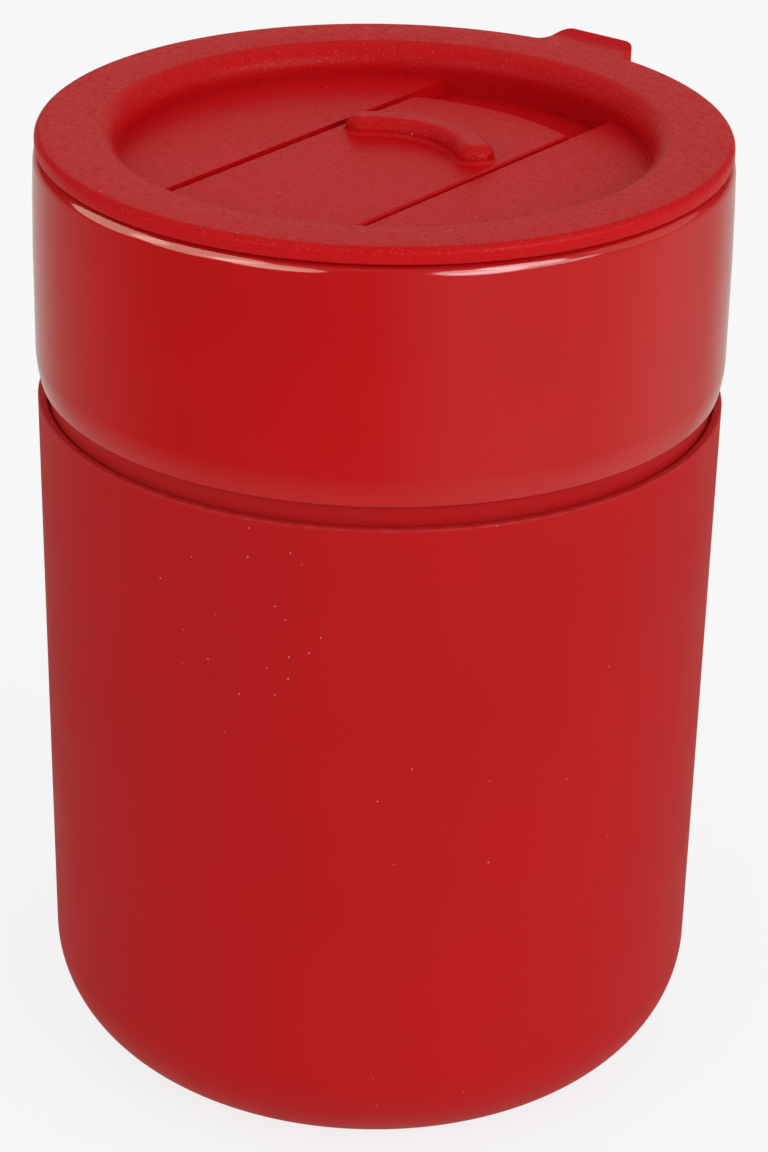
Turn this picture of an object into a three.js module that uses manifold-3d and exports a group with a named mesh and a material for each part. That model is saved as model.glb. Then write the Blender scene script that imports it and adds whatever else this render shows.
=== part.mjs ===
// Lidded ceramic mug in a silicone sleeve, with a plug lid and a sliding drink cover.
// Millimetres, +Z up, origin on the axis at the underside of the sleeve.
// The drinking side faces -Y and the pull tab of the lid faces +Y.

import * as THREE from "three";
import { mergeVertices } from "three/addons/utils/BufferGeometryUtils.js";
import Module from "manifold-3d";

const wasm = await Module();
wasm.setup();

// Fineness of the faceted surfaces
const TURN_FACETS = 60;
const ROUND_SAG = 0.06; // most that a chord lies off a rounded edge
const OUTLINE_STEPS = 10;
const BEND_STEPS = 4;

// Clearances
const SEAT_GAP = 0.3; // between pieces that rest on or in each other
const RIM_GAP = 0.3; // lid flange above the cup rim
const PLUG_GAP = 0.5; // lid plug inside the cup mouth
const SIDE_GAP = 0.8; // slider to each side of its channel
const TONGUE_GAP = 0.3; // slider tongues in their grooves
const END_GAP = 0.5; // slider to the recess wall at either end of its travel
const JOIN = 0.5; // depth that merged shapes run into each other
const WHOLE_EDGE = 0.98; // most of an edge that one rounding takes up
const SHARED_EDGE = 0.49; // the same where both ends of the edge are rounded

// Whole mug
const MUG_RADIUS = 41.5; // sleeve at its upper edge

// Silicone sleeve
const SLEEVE_HEIGHT = 87.2;
const SLEEVE_TAPER = 0.75; // radius lost between the upper edge and the foot
const SLEEVE_WALL = 1.2;
const SLEEVE_FLOOR = 2.4;
const SLEEVE_FOOT_ROUND = 13.3;
const SLEEVE_EDGE_ROUND = 0.4;

// Ceramic cup
const GROOVE_HEIGHT = 2.55; // bare neck between sleeve and band
const BAND_HEIGHT = 28.25;
const BAND_PROUD = 0.12; // band beyond the sleeve's upper edge
const BAND_FOOT_HEIGHT = 2.4; // lowest part of the band that leans in towards the neck
const BAND_FOOT_LEAN = 0.5; // radius lost over that part
const BAND_FOOT_BLEND = 12; // rounding where the lean starts
const BAND_FOOT_ROUND = 0.3;
const SHOULDER_HEIGHT = 9; // upper part of the band that leans in towards the rim
const SHOULDER_LEAN = 0.3; // radius lost over that part
const RIM_WALL = 4.42;
const RIM_OUTER_ROUND = 1.6;
const RIM_INNER_ROUND = 1.2;
const MOUTH_DEPTH = 12; // straight part of the mouth that takes the lid plug
const CUP_WALL = 3.6;
const CUP_FLOOR = 5;

// Lid
const LID_INSET = 0.47; // flange edge inside the edge of the ceramic band
const FLANGE_THICKNESS = 2;
const FLANGE_EDGE_ROUND = 0.5;
const RECESS_WALL = 5.2; // recess wall to the outside of the plug
const RECESS_EDGE_ROUND = 2.8;
const RECESS_LEAD = 6.5; // inner part of the flange that leans towards the recess
const RECESS_LEAN = 0.25; // height lost over that part
const PANEL_DEPTH = 4.1; // side panels below the top of the flange
const PANEL_ROUND = 0.4; // fillet between panels and recess wall
const CHANNEL_WIDTH = 25.2;
const LID_FLOOR = 2.2;
const SKIRT_WALL = 2.6;
const SKIRT_REACH = 3.2; // plug skirt below the lid floor
const SKIRT_ROUND = 0.8;

// Drink slot in the lid floor
const DRINK_WIDTH = 17;
const DRINK_DEPTH = 5.6;
const DRINK_MARGIN = 0.9; // slot to the recess wall

// Pull tab on the lid flange
const TAB_REACH = 3.2; // tip beyond the flange edge
const TAB_WIDTH = 11.5;
const TAB_CORNER = 1.8;
const TAB_FILLET = 2;
const TAB_BEND = 2.4; // outer part of the tab that curves up
const TAB_LIFT = 0.7; // tip above the top of the flange

// Seal ring in the lid plug
const SEAL_HEIGHT = 4;
const SEAL_DEPTH = 1.6;
const SEAL_LAND = 2.6; // plug below the seal groove
const SEAL_LIP = 0.6;

// Slider
const SLIDER_TRAVEL = 7.8;
const SLIDER_THICKNESS = 1.9;
const SLIDER_RISE = 0.2; // slider top above the side panels
const SLIDER_EDGE_ROUND = 0.25;
const TONGUE_REACH = 1.6;
const TONGUE_THICKNESS = 0.7;
const TONGUE_INSET = 2.6; // front end of the tongues behind the front corners of the slider
const TONGUE_TAIL = 9; // back end of the tongues in front of the back corners of the slider

// Thumb ridge on the slider
const RIDGE_SPAN = 16.5; // between the middles of its round ends
const RIDGE_WIDTH = 4.6;
const RIDGE_BEND = 12.05; // radius of its middle line
const RIDGE_SETBACK = 10.9; // back of the ridge to the back edge of the slider
const RIDGE_HEIGHT = 2;
const RIDGE_EDGE_ROUND = 1.6;

// Heights that follow
const cupBase = SLEEVE_FLOOR + SEAT_GAP;
const bandFoot = SLEEVE_HEIGHT + GROOVE_HEIGHT;
const rimTop = bandFoot + BAND_HEIGHT;
const flangeFoot = rimTop + RIM_GAP;
const lidTop = flangeFoot + FLANGE_THICKNESS;
const panelTop = lidTop - PANEL_DEPTH;
const sliderTop = panelTop + SLIDER_RISE;
const sliderFoot = sliderTop - SLIDER_THICKNESS;
const channelFloor = sliderFoot - SEAT_GAP;
const lidFoot = channelFloor - LID_FLOOR;
const plugFoot = lidFoot - SKIRT_REACH;
const sealGrooveFoot = plugFoot + SEAL_LAND;
const sealGrooveTop = sealGrooveFoot + SEAL_HEIGHT;

// Radii that follow
const sleeveFootRadius = MUG_RADIUS - SLEEVE_TAPER;
const sleeveInnerTop = MUG_RADIUS - SLEEVE_WALL;
const sleeveInnerFoot = sleeveFootRadius - SLEEVE_WALL;
const sleeveInnerRound = SLEEVE_FOOT_ROUND - SLEEVE_WALL;
const neckRadius = sleeveInnerTop - SEAT_GAP;
const cupFootRadius = sleeveInnerFoot - SEAT_GAP;
const cupFootRound = sleeveInnerRound - SEAT_GAP;
const cupInnerFoot = cupFootRadius - CUP_WALL;
const cupInnerRound = cupFootRound - CUP_WALL;
const bandRadius = MUG_RADIUS + BAND_PROUD;
const mouthRadius = bandRadius - RIM_WALL;
const flangeRadius = bandRadius - LID_INSET;
const plugRadius = mouthRadius - PLUG_GAP;
const recessRadius = plugRadius - RECESS_WALL;
const sliderRadius = recessRadius - END_GAP;

// Sides of the slider that follow
const channelSide = CHANNEL_WIDTH / 2;
const sliderSide = channelSide - SIDE_GAP;
const sliderCornerY = Math.sqrt(sliderRadius ** 2 - sliderSide ** 2);
const sliderBack = sliderRadius - SLIDER_TRAVEL;
const tongueSide = sliderSide + TONGUE_REACH;
const tongueFront = -sliderCornerY + TONGUE_INSET;
const tongueBack = sliderCornerY - SLIDER_TRAVEL - TONGUE_TAIL;
const ridgeCentre = sliderBack - RIDGE_SETBACK - RIDGE_WIDTH / 2 - RIDGE_BEND;

// A corner of a profile replaced by an arc that touches both of its sides.
function roundedCorner(before, at, after, radius, shareBefore, shareAfter) {
  const back = before.clone().sub(at);
  const on = after.clone().sub(at);
  const half = Math.abs(back.angleTo(on)) / 2;
  const most = Math.min(back.length() * shareBefore, on.length() * shareAfter);
  const reach = Math.min(radius / Math.tan(half), most);
  const arc = reach * Math.tan(half);
  const inward = back.clone().normalize().add(on.clone().normalize()).normalize();
  const centre = at.clone().addScaledVector(inward, arc / Math.sin(half));
  const first = at.clone().addScaledVector(back.normalize(), reach).sub(centre);
  const last = at.clone().addScaledVector(on.normalize(), reach).sub(centre);
  const sweep = Math.atan2(first.cross(last), first.dot(last));
  const chord = 2 * Math.acos(Math.max(1 - ROUND_SAG / arc, 0));
  const steps = Math.ceil(Math.abs(sweep) / chord);
  const points = [];
  for (let step = 0; step <= steps; step += 1) {
    const swung = first.clone().rotateAround(new THREE.Vector2(), (sweep * step) / steps);
    points.push(swung.add(centre));
  }
  return points;
}

// A profile from [radius, height, rounding] corners. A closed one ends where it starts.
function profile(corners, closed = false) {
  const at = corners.map(([radius, height]) => new THREE.Vector2(radius, height));
  const count = corners.length;
  const points = [];
  corners.forEach(([, , rounding = 0], i) => {
    if (rounding > 0) {
      const before = (i + count - 1) % count;
      const after = (i + 1) % count;
      const shareBefore = corners[before][2] ? SHARED_EDGE : WHOLE_EDGE;
      const shareAfter = corners[after][2] ? SHARED_EDGE : WHOLE_EDGE;
      points.push(...roundedCorner(at[before], at[i], at[after], rounding, shareBefore, shareAfter));
    } else {
      points.push(at[i]);
    }
  });
  if (closed) {
    points.push(points[0].clone());
  }
  return points;
}

// A solid turned about +Z from a profile that runs up on its outside.
function turned(points) {
  const geometry = new THREE.LatheGeometry(points, TURN_FACETS);
  geometry.rotateX(Math.PI / 2);
  return geometry;
}

// A box between two opposite corners.
function box(low, high) {
  const size = high.map((value, i) => value - low[i]);
  const geometry = new THREE.BoxGeometry(...size);
  geometry.translate(...low.map((value, i) => value + size[i] / 2));
  return geometry;
}

// A flat outline raised from one height to another, with its edges rounded off.
function raised(shape, foot, top, rounding = 0) {
  const geometry = new THREE.ExtrudeGeometry(shape, {
    depth: top - foot - 2 * rounding,
    bevelEnabled: rounding > 0,
    bevelThickness: rounding,
    bevelSize: rounding,
    bevelOffset: -rounding,
    bevelSegments: 2,
    curveSegments: OUTLINE_STEPS,
  });
  geometry.translate(0, 0, foot + rounding);
  return geometry;
}

// The closed solid of a geometry, for cutting and joining.
function solid(geometry) {
  const plain = geometry.clone();
  plain.deleteAttribute("normal");
  plain.deleteAttribute("uv");
  const merged = mergeVertices(plain, 1e-4);
  return new wasm.Manifold(
    new wasm.Mesh({
      numProp: 3,
      vertProperties: merged.attributes.position.array,
      triVerts: new Uint32Array(merged.index.array),
    }),
  );
}

// The geometry of a cut or joined solid.
function geometryOf(body) {
  const mesh = body.getMesh();
  const geometry = new THREE.BufferGeometry();
  geometry.setAttribute("position", new THREE.BufferAttribute(mesh.vertProperties, 3));
  geometry.setIndex(new THREE.BufferAttribute(mesh.triVerts, 1));
  geometry.computeVertexNormals();
  return geometry;
}

// Boot-shaped sleeve with a closed flat underside.
function sleeveGeometry() {
  return turned(
    profile([
      [0, 0],
      [sleeveFootRadius, 0, SLEEVE_FOOT_ROUND],
      [MUG_RADIUS, SLEEVE_HEIGHT, SLEEVE_EDGE_ROUND],
      [sleeveInnerTop, SLEEVE_HEIGHT, SLEEVE_EDGE_ROUND],
      [sleeveInnerFoot, SLEEVE_FLOOR, sleeveInnerRound],
      [0, SLEEVE_FLOOR],
    ]),
  );
}

// Stepped cup: the lower body fits the sleeve and the band above stands out flush with it.
function cupGeometry() {
  const innerFloor = cupBase + CUP_FLOOR;
  return turned(
    profile([
      [0, cupBase],
      [cupFootRadius, cupBase, cupFootRound],
      [neckRadius, bandFoot],
      [bandRadius - BAND_FOOT_LEAN, bandFoot, BAND_FOOT_ROUND],
      [bandRadius, bandFoot + BAND_FOOT_HEIGHT, BAND_FOOT_BLEND],
      [bandRadius, rimTop - SHOULDER_HEIGHT],
      [bandRadius - SHOULDER_LEAN, rimTop, RIM_OUTER_ROUND],
      [mouthRadius, rimTop, RIM_INNER_ROUND],
      [mouthRadius, rimTop - MOUTH_DEPTH],
      [cupInnerFoot, innerFloor, cupInnerRound],
      [0, innerFloor],
    ]),
  );
}

// Flange, recess wall, floor and plug of the lid, before the side panels go in.
function lidShell() {
  return turned(
    profile([
      [0, lidFoot],
      [plugRadius - SKIRT_WALL, lidFoot, SKIRT_ROUND],
      [plugRadius - SKIRT_WALL, plugFoot, SKIRT_ROUND],
      [plugRadius, plugFoot, SKIRT_ROUND],
      [plugRadius, sealGrooveFoot],
      [plugRadius - SEAL_DEPTH, sealGrooveFoot],
      [plugRadius - SEAL_DEPTH, sealGrooveTop],
      [plugRadius, sealGrooveTop],
      [plugRadius, flangeFoot],
      [flangeRadius, flangeFoot, FLANGE_EDGE_ROUND],
      [flangeRadius, lidTop, FLANGE_EDGE_ROUND],
      [recessRadius + RECESS_LEAD, lidTop],
      [recessRadius, lidTop - RECESS_LEAN, RECESS_EDGE_ROUND],
      [recessRadius, channelFloor],
      [0, channelFloor],
    ]),
  );
}

// The two side panels that flank the slider channel, filleted up to the recess wall.
function sidePanels() {
  const disc = turned(
    profile([
      [0, channelFloor - JOIN],
      [recessRadius + JOIN, channelFloor - JOIN],
      [recessRadius + JOIN, panelTop + PANEL_ROUND],
      [recessRadius, panelTop + PANEL_ROUND],
      [recessRadius, panelTop, PANEL_ROUND],
      [0, panelTop],
    ]),
  );
  const channel = box(
    [-channelSide, -MUG_RADIUS, channelFloor - 2 * JOIN],
    [channelSide, MUG_RADIUS, lidTop],
  );
  return solid(disc).subtract(solid(channel));
}

// Undercut grooves that hold the slider tongues under the side panels.
function tongueGrooves() {
  const top = sliderFoot + TONGUE_THICKNESS + TONGUE_GAP;
  const reach = tongueSide + TONGUE_GAP;
  const front = tongueFront - END_GAP;
  const back = tongueBack + SLIDER_TRAVEL + END_GAP;
  return solid(box([-reach, front, channelFloor], [reach, back, top]));
}

// Outline of a curved bar with round ends, seen from above.
// Its middle line is an arc about a point on the Y axis.
function curvedBar(centre, bend, width, facing, swing) {
  const end = width / 2;
  const from = facing - swing;
  const to = facing + swing;
  const start = [bend * Math.cos(from), centre + bend * Math.sin(from)];
  const stop = [bend * Math.cos(to), centre + bend * Math.sin(to)];
  const shape = new THREE.Shape();
  shape.absarc(0, centre, bend + end, from, to, false);
  shape.absarc(...stop, end, to, to + Math.PI, false);
  shape.absarc(0, centre, bend - end, to, from, true);
  shape.absarc(...start, end, from + Math.PI, from + 2 * Math.PI, false);
  return shape;
}

// Slot along the recess wall at the drinking side.
function drinkSlot() {
  const bend = recessRadius - DRINK_MARGIN - DRINK_DEPTH / 2;
  const swing = (DRINK_WIDTH - DRINK_DEPTH) / 2 / bend;
  const shape = curvedBar(0, bend, DRINK_DEPTH, -Math.PI / 2, swing);
  return solid(raised(shape, lidFoot - JOIN, channelFloor + JOIN));
}

// Side view of the tab: as thick as the flange, level at its root and curved up towards its tip.
function tabSide(inside, tip) {
  const foot = [new THREE.Vector2(inside, flangeFoot)];
  for (let step = 0; step <= BEND_STEPS; step += 1) {
    const run = ((TAB_BEND + JOIN) * step) / BEND_STEPS;
    const lift = TAB_LIFT * (run / TAB_BEND) ** 2;
    foot.push(new THREE.Vector2(tip - TAB_BEND + run, flangeFoot + lift));
  }
  const top = foot.map((point) => new THREE.Vector2(point.x, point.y + FLANGE_THICKNESS));
  return new THREE.Shape([...foot, ...top.reverse()]);
}

// Pull tab that runs out from the flange edge with hollow fillets at its root.
function pullTab() {
  const side = TAB_WIDTH / 2;
  const root = side + TAB_FILLET;
  const edge = Math.sqrt((flangeRadius - FLANGE_EDGE_ROUND) ** 2 - root ** 2);
  const tip = flangeRadius + TAB_REACH;
  const inside = edge - JOIN;
  const fillet = Math.min(TAB_FILLET, tip - edge - TAB_CORNER);
  const shape = new THREE.Shape();
  shape.moveTo(-root, inside);
  shape.lineTo(root, inside);
  shape.lineTo(root, edge);
  shape.quadraticCurveTo(side, edge, side, edge + fillet);
  shape.lineTo(side, tip - TAB_CORNER);
  shape.quadraticCurveTo(side, tip, side - TAB_CORNER, tip);
  shape.lineTo(TAB_CORNER - side, tip);
  shape.quadraticCurveTo(-side, tip, -side, tip - TAB_CORNER);
  shape.lineTo(-side, edge + fillet);
  shape.quadraticCurveTo(-side, edge, -root, edge);
  const plan = raised(shape, flangeFoot - JOIN, lidTop + TAB_LIFT + JOIN);
  const bent = raised(tabSide(inside - JOIN, tip), -root - JOIN, root + JOIN);
  bent.rotateX(Math.PI / 2);
  bent.rotateZ(Math.PI / 2);
  return solid(plan).intersect(solid(bent));
}

function lidGeometry() {
  const lid = solid(lidShell()).add(sidePanels()).add(pullTab());
  return geometryOf(lid.subtract(tongueGrooves()).subtract(drinkSlot()));
}

// Ring with two lips that closes the plug against the mouth of the cup.
function sealGeometry() {
  const inner = plugRadius - SEAL_DEPTH + SEAT_GAP;
  const lip = mouthRadius - SEAT_GAP;
  const waist = lip - SEAL_LIP;
  const foot = sealGrooveFoot + SEAT_GAP;
  const top = sealGrooveTop - SEAT_GAP;
  const lipHeight = (top - foot) / 3;
  return turned(
    profile(
      [
        [inner, foot],
        [waist, foot],
        [lip, foot + lipHeight / 2],
        [lip, foot + lipHeight],
        [waist, foot + lipHeight * 1.25],
        [waist, top - lipHeight * 1.25],
        [lip, top - lipHeight],
        [lip, top - lipHeight / 2],
        [waist, top],
        [inner, top],
      ],
      true,
    ),
  );
}

// Flat plate whose front follows the recess wall and whose back follows it when slid open.
function sliderPlate() {
  const half = Math.asin(sliderSide / sliderRadius);
  const shape = new THREE.Shape();
  shape.absarc(0, 0, sliderRadius, -Math.PI / 2 - half, -Math.PI / 2 + half, false);
  shape.absarc(0, -SLIDER_TRAVEL, sliderRadius, Math.PI / 2 - half, Math.PI / 2 + half, false);
  return solid(raised(shape, sliderFoot, sliderTop, SLIDER_EDGE_ROUND));
}

// Bar across the slider that curves towards the tab in its middle.
function thumbRidge() {
  const swing = Math.asin(RIDGE_SPAN / 2 / RIDGE_BEND);
  const shape = curvedBar(ridgeCentre, RIDGE_BEND, RIDGE_WIDTH, Math.PI / 2, swing);
  const foot = sliderTop - RIDGE_EDGE_ROUND - JOIN;
  return solid(raised(shape, foot, sliderTop + RIDGE_HEIGHT, RIDGE_EDGE_ROUND));
}

function sliderGeometry() {
  const tongues = box(
    [-tongueSide, tongueFront, sliderFoot],
    [tongueSide, tongueBack, sliderFoot + TONGUE_THICKNESS],
  );
  return geometryOf(sliderPlate().add(solid(tongues)).add(thumbRidge()));
}

function piece(name, geometry, colour, roughness) {
  const material = new THREE.MeshStandardMaterial({ color: colour, roughness, metalness: 0 });
  const mesh = new THREE.Mesh(geometry, material);
  mesh.name = name;
  return mesh;
}

const mug = new THREE.Group();
mug.name = "lidded_mug";
const lid = new THREE.Group();
lid.name = "lid";
lid.add(piece("lid_body", lidGeometry(), 0xad2a2c, 0.62));
lid.add(piece("lid_seal_ring", sealGeometry(), 0xb5262a, 0.7));
lid.add(piece("lid_slider", sliderGeometry(), 0xad2a2c, 0.62));
mug.add(piece("silicone_sleeve", sleeveGeometry(), 0xb81f24, 0.66));
mug.add(piece("ceramic_cup", cupGeometry(), 0xb81d18, 0.12));
mug.add(lid);

export default mug;
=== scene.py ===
"""Lidded ceramic mug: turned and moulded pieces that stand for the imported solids."""

import math

import bmesh
import bpy
from bpy.props import FloatProperty, FloatVectorProperty, PointerProperty
from bpy.types import Operator, Panel, PropertyGroup
from mathutils import Matrix, Vector


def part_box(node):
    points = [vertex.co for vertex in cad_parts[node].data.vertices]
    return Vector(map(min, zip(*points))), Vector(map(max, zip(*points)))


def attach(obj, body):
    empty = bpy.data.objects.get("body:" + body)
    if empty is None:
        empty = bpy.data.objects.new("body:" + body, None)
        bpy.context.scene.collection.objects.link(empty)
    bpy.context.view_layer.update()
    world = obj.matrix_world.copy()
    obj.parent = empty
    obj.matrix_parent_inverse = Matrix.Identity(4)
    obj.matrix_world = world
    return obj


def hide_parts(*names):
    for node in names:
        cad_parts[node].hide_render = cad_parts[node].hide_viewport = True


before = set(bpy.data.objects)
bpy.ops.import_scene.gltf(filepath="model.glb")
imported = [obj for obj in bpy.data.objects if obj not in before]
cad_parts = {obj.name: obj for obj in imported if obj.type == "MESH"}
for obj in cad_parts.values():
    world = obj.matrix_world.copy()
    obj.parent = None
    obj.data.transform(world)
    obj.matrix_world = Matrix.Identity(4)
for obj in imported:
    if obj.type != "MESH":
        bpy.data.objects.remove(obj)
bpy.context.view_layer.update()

bl_info = {
    "name": "Lidded ceramic mug",
    "version": (1, 0, 0),
    "blender": (4, 5, 0),
    "location": "3D View > Sidebar > Mug",
    "description": "Builds a ceramic mug in a silicone sleeve, with a lid and a sliding cover",
    "category": "Add Mesh",
}

SLEEVE_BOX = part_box("silicone_sleeve")
CUP_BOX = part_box("ceramic_cup")
LID_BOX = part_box("lid_body")
SEAL_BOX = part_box("lid_seal_ring")
SLIDER_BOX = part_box("lid_slider")
UP = Vector((0, 0, 1))

# Fit of the lid on the cup, in metres
FLANGE = 0.002
SEAT = 0.0003  # gap between the solids of cup and flange
RIM_LIFT = 0.00025  # how much of that gap the drawn rim closes
LID_TOP = CUP_BOX[1][2] + SEAT + FLANGE

# Fineness of the meshes
TURN_STEPS = 192
FLOOR_STEPS = 96
ARC_STEPS = 32
TIP_STEPS = 12
BEND_STEPS = 8
ROUND_STEPS = 6
LEAST_EDGE_STEPS = 3
ROUND_STEP = 0.0005  # length of a rounded corner per step, in metres
EDGE_STEP = ROUND_STEP / 4  # radius of a rounded edge per step, in metres
WELD = 1e-6
JOIN = 0.0005  # depth that merged shapes run into each other
SLIVER = JOIN / 10  # the same, where a shape only just reaches into a wall
NEARLY_ALL = 0.999  # leaves a fillet a trace of the edge that it takes up
LIP_END = 1.25  # where a lip of the seal ring ends, in thirds of its height
FLAT = math.radians(0.05)
CREASE = math.radians(38)

# Noises of the finishes, as features per metre and detail
CLOUDING = (22, 3)
HANDLING = (70, 4)
# Breaks up the painted highlight along the upper edge of the sleeve and seal
LIP_HIGHLIGHT_NOISE = (700, 3)
SKIN = (2600, 3)
MOULD_GRAIN = (2600, 3)
MOULD_SHEEN = (1900, 3)
POOLING = (34, 4)
SMEARS = (55, 3)
RIPPLE = (150, 2)
GROG = (900, 4)
NOISE_RANGE = (0.3, 0.7)  # holds most of a noise's values
NOISE_CORE = (0.35, 0.65)

# Bumps of the finishes, as depth in metres and strength
SKIN_BUMP = (0.00004, 0.25)
GRAIN_BUMP = (0.00007, 0.8)
RIPPLE_BUMP = (0.00008, 0.06)

# Specks of the finishes, as spacing and radius in metres
SLEEVE_DUST = (0.0015, 0.00012)
LID_DUST = (0.002, 0.00013)
# Painted glints: light specks that stand for highlights on the lid's grain
PAINTED_GLINTS = (0.00045, 0.00009)
SPECK_CORE = 0.6  # share of a speck's radius that has its full strength
DUST_PATCH = (0.0105, -0.04, 0.074)  # where specks gather on the sleeve
DUST_REACH = (0.016, 0.006)  # outer and inner radius of that place
DUST_SHARE = (0.05, 0.9)  # share of the specks outside and inside it
LID_DUST_SHARE = 0.15
PAINTED_GLINT_SHARE = 0.9
SLEEVE_DUST_STRENGTH = 0.35
LID_DUST_STRENGTH = 0.3
PAINTED_GLINT_STRENGTH = 0.1
# Painted glints go on surfaces that neither face up nor stand upright
OFF_LEVEL = (0.97, 0.85)  # how far up a surface faces where glints start and are all there
OFF_UPRIGHT = (0.1, 0.4)

# Places on the pieces where a finish, a painted highlight or a painted shade changes, in metres
# from none of it to all of it
# Painted highlight along the sleeve's upper edge
LIP_HIGHLIGHT_LINE = (-0.0004, -0.0001)  # from the sleeve's upper edge
# Painted shade at the foot of the recess wall
RECESS_FOOT = (0.0018, 0.0002)  # from the panels
RECESS_WALL = (0.0003, 0.0002)  # from the recess wall
# Matte finish and painted shade on the neck below the band
NECK_FADE = (0.0002, 0)  # from the foot of the band
BARE_FOOT = (0.0005, 0.0003)  # from the underside of the cup

# Strengths of the painted highlight and painted shades, tones of the clay, and gloss of those
# places
LIP_HIGHLIGHT_STRENGTH = 0.03
LIP_HIGHLIGHT_UNEVEN = (0.3, 1)
RECESS_PAINTED_SHADE = 0.87
NECK_PAINTED_SHADE = 0.93
GROG_SHADES = (0.8, 1.1)
NECK_ROUGHNESS = 0.55
BARE_ROUGHNESS = 0.3
MATTE_SPECULAR = 0.12
NECK_SPECULAR = 0.1
GLAZE_SPECULAR = 0.5

# Camera and floor
SENSOR_WIDTH = 36
NEAREST, FARTHEST = 0.01, 20
FLOOR_GREY = (0.9, 0.9, 0.9, 1)
SEEN_GLOW = 0.85  # share of plain white in the floor, as the camera sees it
LEAST_GLOW = 0.3
BACKDROP_SHADE = 0.957  # as bright as the lit floor, so that no horizon shows

# Parts of the mirrored studio, by how far a ray points their way where they start and are full
WIDE_BACKDROP = (-0.3, 0.8)
MIDDLE_BACKDROP = (0.6, 0.95)
HIGH_BACKDROP = (0.84, 0.96)
BELOW_HORIZON = (-0.1, 0.1)
ABOVE_HORIZON = (0.0, 0.3)
BRIGHT_SIDE = (0.35, 0.75)
NEAR_TABLE = (0.38, 0.9)
CEILING = (0.6, 0.9)

# Lamps, as turn from the camera and elevation in degrees, size in metres, watts and colour
LAMP_DISTANCE = 1.1
PLAIN = (1.0, 1.0, 1.0)
WARM = (1.0, 1.0, 0.78)
LAMPS = {
    "key_right": (47, 28, (1.0, 0.4), 4.0, PLAIN),
    "fill_left": (-42, 28, (0.7, 0.4), 1.25, PLAIN),
}
CARDS = {  # seen only as highlights in the glaze
    "card_right": (33, 33, (0.5, 0.8), 6.5, PLAIN),
    "card_far_right": (54, 46, (0.45, 0.5), 4.4, PLAIN),
    "card_left": (-38, 33, (0.62, 0.75), 5.2, WARM),
    "card_far_left": (-68, 36, (0.8, 1.0), 8.0, WARM),
    "card_back_left": (-98, 27, (0.8, 0.8), 5.0, WARM),
    "card_back_right": (100, 30, (0.9, 0.8), 0.9, WARM),
}


def length(name, description, default):
    """A size in metres."""
    return FloatProperty(name=name, description=description, default=default, unit="LENGTH",
                         precision=5)


def angle(name, description, degrees):
    """An angle, given in degrees."""
    return FloatProperty(name=name, description=description, default=math.radians(degrees),
                         subtype="ANGLE")


def share(name, description, default):
    """A number from 0 to 1."""
    return FloatProperty(name=name, description=description, default=default, min=0, max=1,
                         subtype="FACTOR")


def tint(name, description, default):
    """A colour, as linear red, green and blue."""
    return FloatVectorProperty(name=name, description=description, default=default, min=0, max=1,
                               size=3, subtype="COLOR")


class MugSleeveSizes(PropertyGroup):
    """Sizes of the silicone sleeve"""

    radius: length("Radius", "Outside, at the upper edge", 0.0415)
    height: length("Height", "Table to the upper edge", SLEEVE_BOX[1][2])
    taper: length("Taper", "Radius lost between the upper edge and the foot", 0.00075)
    wall: length("Wall", "Thickness of the side", 0.0012)
    floor: length("Floor", "Thickness of the closed bottom", 0.0024)
    foot_round: length("Foot rounding", "Radius of the rounded foot", 0.0133)
    edge_round: length("Edge rounding", "Radius along the outside of the upper edge", 0.00025)
    inner_round: length("Inner rounding", "Radius along the inside of the upper edge", 0.0005)


class MugCupSizes(PropertyGroup):
    """Sizes of the ceramic cup"""

    base: length("Base", "Height of the underside", CUP_BOX[0][2])
    rim: length("Rim", "Height of the rim, close under the lid", CUP_BOX[1][2] + RIM_LIFT)
    seat_gap: length("Seat gap", "Gap to the sleeve, which looks like a tight fit", 0.00006)
    band_radius: length("Band radius", "Outside of the glazed band", CUP_BOX[1][0])
    band: length("Band height", "Glazed band from its foot to the rim", 0.0285)
    foot_height: length("Foot height", "Lowest part of the band, which leans in", 0.0024)
    foot_lean: length("Foot lean", "Radius lost over that part", 0.0005)
    foot_blend: length("Foot blend", "Rounding where the lean starts", 0.012)
    foot_round: length("Foot rounding", "Radius along the foot of the band", 0.0003)
    shoulder: length("Shoulder", "Upper part of the band, which leans in", 0.009)
    shoulder_lean: length("Shoulder lean", "Radius lost over that part", 0.0003)
    shoulder_round: length("Shoulder rounding", "Radius where the band starts to lean", 0.2)
    rim_wall: length("Rim wall", "Thickness at the mouth", 0.00442)
    rim_outer_round: length("Outer rim rounding", "Radius of the edge under the lid", 0.0016)
    rim_inner_round: length("Inner rim rounding", "Radius at the mouth", 0.0012)
    mouth_depth: length("Mouth depth", "Straight part that takes the plug", 0.012)
    wall: length("Wall", "Thickness of the lower body", 0.0036)
    floor: length("Floor", "Thickness of the bottom", 0.005)


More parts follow.
